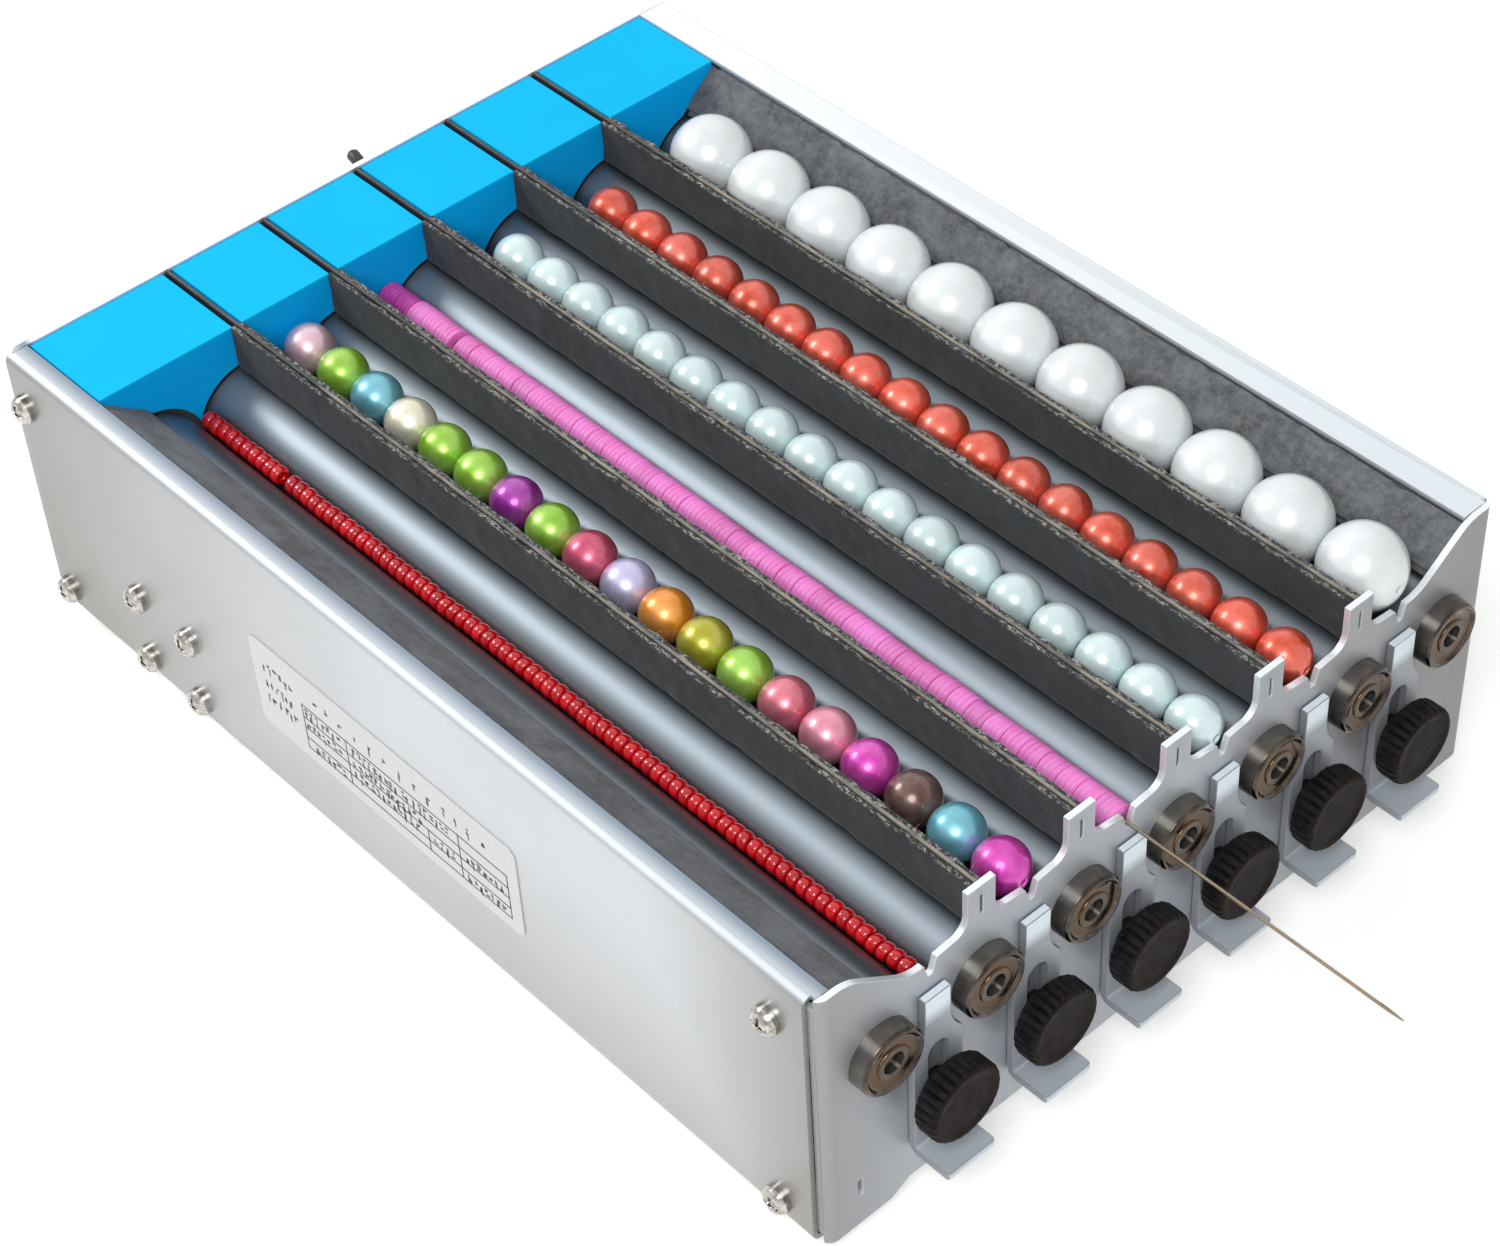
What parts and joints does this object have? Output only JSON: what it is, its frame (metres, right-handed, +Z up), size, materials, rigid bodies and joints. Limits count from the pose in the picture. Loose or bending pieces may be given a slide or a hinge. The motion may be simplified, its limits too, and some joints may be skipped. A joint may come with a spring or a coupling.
{
  "type": "bead spinner",
  "caption": "Sheet-metal tray of motor-driven parallel rollers with felt-lined lanes, front bearings, sliding gates with thumbscrews, end blocks and rows of loose beads lined up for a needle",
  "frame": {"origin": "Middle of the footprint of the whole object, needle and switch lever included, on the surface the feet stand on", "axes": "+X across the lanes to the right as seen from the threading end, +Y along the rollers away from the threading end, +Z up"},
  "size_m": [0.1628, 0.28, 0.0658],
  "materials": {
    "case_sheet": "satin",
    "inner_sheet": "satin",
    "bearing_chrome": "polished",
    "roller_metal": "satin anodised",
    "shaft_steel": "ground",
    "belt_rubber": "matte",
    "motor_metal": "satin",
    "bracket_zinc": "yellow zinc plating",
    "divider_sheet": "matte",
    "felt": "matte felt",
    "block_plastic": "printed plastic",
    "gate_metal": "satin",
    "nut_steel": "satin",
    "knob_plastic": "knurled",
    "board": "solder mask",
    "jack_plastic": "gloss",
    "switch_metal": "nickel",
    "lever_plastic": "gloss",
    "label": "satin film",
    "screw_steel": "nickel",
    "foot_rubber": "matte",
    "needle_steel": "polished",
    "seed_glass": "glossy",
    "mixed_pearl": "pearl lustre",
    "clay": "matte",
    "mint_pearl": "pearl lustre",
    "coral_pearl": "pearl lustre",
    "white_pearl": "pearl lustre"
  },
  "bodies": {
    "case": {"left_side_plate": "case_sheet", "right_side_plate": "case_sheet", "front_plate": "case_sheet", "rear_plate": "case_sheet", "base_plate": "case_sheet", "bearing_plate": "inner_sheet", "front_bearings": "bearing_chrome", "rear_bearings": "bearing_chrome", "drive_belts": "belt_rubber", "motor": "motor_metal", "motor_bracket": "bracket_zinc", "dividers": "divider_sheet", "divider_felts": "felt", "guide_walls": "divider_sheet", "guide_felts": "felt", "left_end_block": "block_plastic", "middle_end_blocks": "block_plastic", "right_end_block": "block_plastic", "gate_nuts": "nut_steel", "circuit_board": "board", "power_jack": "jack_plastic", "power_switch": "switch_metal", "side_label": "label", "case_screws": "screw_steel", "feet": "foot_rubber"},
    "spindle_1": {"roller_1": "roller_metal", "shaft_1": "shaft_steel"},
    "spindle_2": {"roller_2": "roller_metal", "shaft_2": "shaft_steel"},
    "spindle_3": {"roller_3": "roller_metal", "shaft_3": "shaft_steel"},
    "spindle_4": {"roller_4": "roller_metal", "shaft_4": "shaft_steel"},
    "spindle_5": {"roller_5": "roller_metal", "shaft_5": "shaft_steel"},
    "spindle_6": {"roller_6": "roller_metal", "shaft_6": "shaft_steel"},
    "spindle_7": {"roller_7": "roller_metal", "shaft_7": "shaft_steel"},
    "motor_shaft": {"motor_pulley": "shaft_steel"},
    "sliding_gate_1": {"gate_1": "gate_metal"},
    "thumbscrew_body_1": {"thumbscrew_1": "knob_plastic"},
    "beads_1": {"bead_row_1": "seed_glass"},
    "sliding_gate_2": {"gate_2": "gate_metal"},
    "thumbscrew_body_2": {"thumbscrew_2": "knob_plastic"},
    "beads_2": {"bead_row_2": "mixed_pearl"},
    "sliding_gate_3": {"gate_3": "gate_metal"},
    "thumbscrew_body_3": {"thumbscrew_3": "knob_plastic"},
    "beads_3": {"bead_row_3": "clay"},
    "sliding_gate_4": {"gate_4": "gate_metal"},
    "thumbscrew_body_4": {"thumbscrew_4": "knob_plastic"},
    "beads_4": {"bead_row_4": "mint_pearl"},
    "sliding_gate_5": {"gate_5": "gate_metal"},
    "thumbscrew_body_5": {"thumbscrew_5": "knob_plastic"},
    "beads_5": {"bead_row_5": "coral_pearl"},
    "sliding_gate_6": {"gate_6": "gate_metal"},
    "thumbscrew_body_6": {"thumbscrew_6": "knob_plastic"},
    "beads_6": {"bead_row_6": "white_pearl"},
    "lever": {"switch_lever": "lever_plastic"},
    "threading_needle": {"needle": "needle_steel"}
  },
  "joints": [
    {"name": "roller_spin_1", "type": "hinge", "parent": "case", "child": "spindle_1", "pos_m": [-0.066, 0.01645, 0.0422], "axis": [0, 1, 0], "continuous": true},
    {"name": "roller_spin_2", "type": "hinge", "parent": "case", "child": "spindle_2", "pos_m": [-0.044, 0.01645, 0.0422], "axis": [0, 1, 0], "continuous": true},
    {"name": "roller_spin_3", "type": "hinge", "parent": "case", "child": "spindle_3", "pos_m": [-0.022, 0.01645, 0.0422], "axis": [0, 1, 0], "continuous": true},
    {"name": "roller_spin_4", "type": "hinge", "parent": "case", "child": "spindle_4", "pos_m": [0, 0.01645, 0.0422], "axis": [0, 1, 0], "continuous": true},
    {"name": "roller_spin_5", "type": "hinge", "parent": "case", "child": "spindle_5", "pos_m": [0.022, 0.01645, 0.0422], "axis": [0, 1, 0], "continuous": true},
    {"name": "roller_spin_6", "type": "hinge", "parent": "case", "child": "spindle_6", "pos_m": [0.044, 0.01645, 0.0422], "axis": [0, 1, 0], "continuous": true},
    {"name": "roller_spin_7", "type": "hinge", "parent": "case", "child": "spindle_7", "pos_m": [0.066, 0.01645, 0.0422], "axis": [0, 1, 0], "continuous": true},
    {"name": "motor_spin", "type": "hinge", "parent": "case", "child": "motor_shaft", "pos_m": [-0.0622, 0.11645, 0.0176], "axis": [0, 1, 0], "continuous": true},
    {"name": "bead_spin_1", "type": "hinge", "parent": "case", "child": "beads_1", "pos_m": [-0.055, 0.00645, 0.04855], "axis": [0, 1, 0], "continuous": true},
    {"name": "bead_spin_2", "type": "hinge", "parent": "case", "child": "beads_2", "pos_m": [-0.033, 0.00645, 0.0536], "axis": [0, 1, 0], "continuous": true},
    {"name": "bead_spin_3", "type": "hinge", "parent": "case", "child": "beads_3", "pos_m": [-0.011, 0.00645, 0.05086], "axis": [0, 1, 0], "continuous": true},
    {"name": "bead_spin_4", "type": "hinge", "parent": "case", "child": "beads_4", "pos_m": [0.011, 0.00645, 0.05361], "axis": [0, 1, 0], "continuous": true},
    {"name": "bead_spin_5", "type": "hinge", "parent": "case", "child": "beads_5", "pos_m": [0.033, 0.00645, 0.05361], "axis": [0, 1, 0], "continuous": true},
    {"name": "bead_spin_6", "type": "hinge", "parent": "case", "child": "beads_6", "pos_m": [0.055, 0.00645, 0.05769], "axis": [0, 1, 0], "continuous": true},
    {"name": "gate_slide_1", "type": "slide", "parent": "case", "child": "sliding_gate_1", "axis": [0, 0, 1], "range_m": [-0.008, 0.0012]},
    {"name": "gate_slide_2", "type": "slide", "parent": "case", "child": "sliding_gate_2", "axis": [0, 0, 1], "range_m": [-0.008, 0.0012]},
    {"name": "gate_slide_3", "type": "slide", "parent": "case", "child": "sliding_gate_3", "axis": [0, 0, 1], "range_m": [-0.008, 0.0012]},
    {"name": "gate_slide_4", "type": "slide", "parent": "case", "child": "sliding_gate_4", "axis": [0, 0, 1], "range_m": [-0.008, 0.0012]},
    {"name": "gate_slide_5", "type": "slide", "parent": "case", "child": "sliding_gate_5", "axis": [0, 0, 1], "range_m": [-0.008, 0.0012]},
    {"name": "gate_slide_6", "type": "slide", "parent": "case", "child": "sliding_gate_6", "axis": [0, 0, 1], "range_m": [-0.008, 0.0012]},
    {"name": "thumbscrew_turn_1", "type": "hinge", "parent": "case", "child": "thumbscrew_body_1", "pos_m": [-0.055, -0.08855, 0.0264], "axis": [0, 1, 0], "range_deg": [-360, 0]},
    {"name": "thumbscrew_turn_2", "type": "hinge", "parent": "case", "child": "thumbscrew_body_2", "pos_m": [-0.033, -0.08855, 0.0264], "axis": [0, 1, 0], "range_deg": [-360, 0]},
    {"name": "thumbscrew_turn_3", "type": "hinge", "parent": "case", "child": "thumbscrew_body_3", "pos_m": [-0.011, -0.08855, 0.0264], "axis": [0, 1, 0], "range_deg": [-360, 0]},
    {"name": "thumbscrew_turn_4", "type": "hinge", "parent": "case", "child": "thumbscrew_body_4", "pos_m": [0.011, -0.08855, 0.0264], "axis": [0, 1, 0], "range_deg": [-360, 0]},
    {"name": "thumbscrew_turn_5", "type": "hinge", "parent": "case", "child": "thumbscrew_body_5", "pos_m": [0.033, -0.08855, 0.0264], "axis": [0, 1, 0], "range_deg": [-360, 0]},
    {"name": "thumbscrew_turn_6", "type": "hinge", "parent": "case", "child": "thumbscrew_body_6", "pos_m": [0.055, -0.08855, 0.0264], "axis": [0, 1, 0], "range_deg": [-360, 0]},
    {"name": "switch_toggle", "type": "hinge", "parent": "case", "child": "lever", "pos_m": [0.0061, 0.13245, 0.0548], "axis": [1, 0, 0], "range_deg": [-48, 0]},
    {"name": "needle_draw", "type": "slide", "parent": "case", "child": "threading_needle", "axis": [0, -1, 0], "range_m": [0, 0.03]}
  ],
  "couplings": [
    {"joint": "roller_spin_1", "follows": "roller_spin_4", "ratio": 1},
    {"joint": "roller_spin_2", "follows": "roller_spin_4", "ratio": 1},
    {"joint": "roller_spin_3", "follows": "roller_spin_4", "ratio": 1},
    {"joint": "roller_spin_5", "follows": "roller_spin_4", "ratio": 1},
    {"joint": "roller_spin_6", "follows": "roller_spin_4", "ratio": 1},
    {"joint": "roller_spin_7", "follows": "roller_spin_4", "ratio": 1},
    {"joint": "motor_spin", "follows": "roller_spin_4", "ratio": 1.7143},
    {"joint": "bead_spin_1", "follows": "roller_spin_4", "ratio": -5.8889},
    {"joint": "bead_spin_2", "follows": "roller_spin_4", "ratio": -2.1457},
    {"joint": "bead_spin_3", "follows": "roller_spin_4", "ratio": -3.4194},
    {"joint": "bead_spin_4", "follows": "roller_spin_4", "ratio": -2.1414},
    {"joint": "bead_spin_5", "follows": "roller_spin_4", "ratio": -2.1414},
    {"joint": "bead_spin_6", "follows": "roller_spin_4", "ratio": -1.3086}
  ]
}
